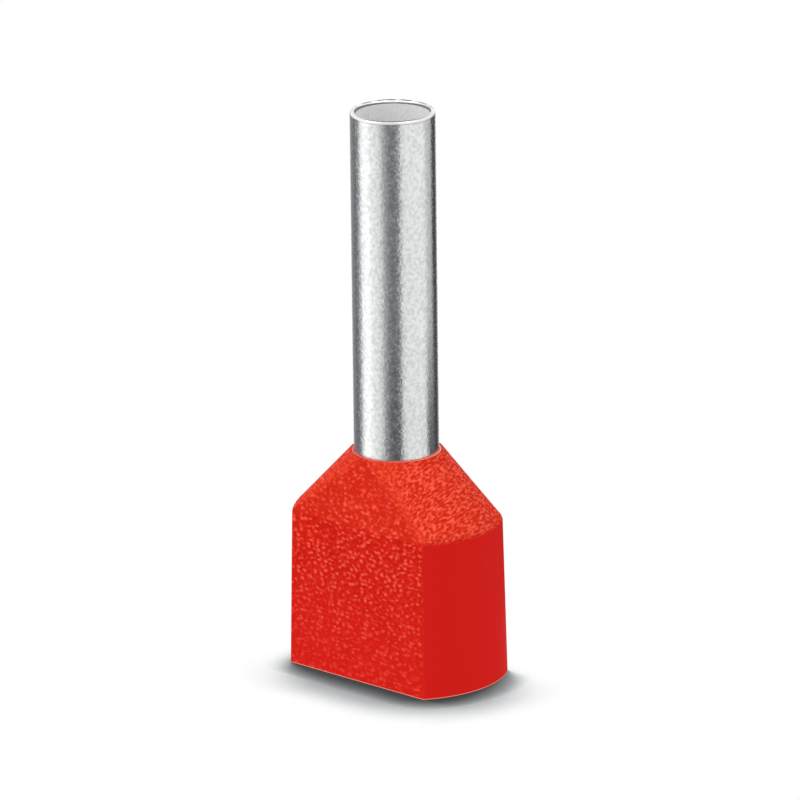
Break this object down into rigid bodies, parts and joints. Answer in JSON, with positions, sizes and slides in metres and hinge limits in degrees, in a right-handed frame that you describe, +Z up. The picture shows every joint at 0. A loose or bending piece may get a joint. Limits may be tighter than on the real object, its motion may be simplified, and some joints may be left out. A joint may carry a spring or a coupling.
{
  "type": "twin wire ferrule",
  "caption": "Wire ferrule with a thin tinned copper sleeve and a moulded insulating collar, for crimping a pair of stranded wires together.",
  "frame": {"origin": "centre of the collar's open mouth, on the sleeve's axis", "axes": "+X along the collar's width, +Y through its thickness, +Z up the sleeve"},
  "size_m": [0.0064, 0.0036, 0.0165],
  "materials": {
    "red_polypropylene": "fine moulded grain",
    "tinned_copper": "satin tin plating"
  },
  "bodies": {
    "root": {"collar": "red_polypropylene", "sleeve": "tinned_copper"}
  },
  "joints": []
}
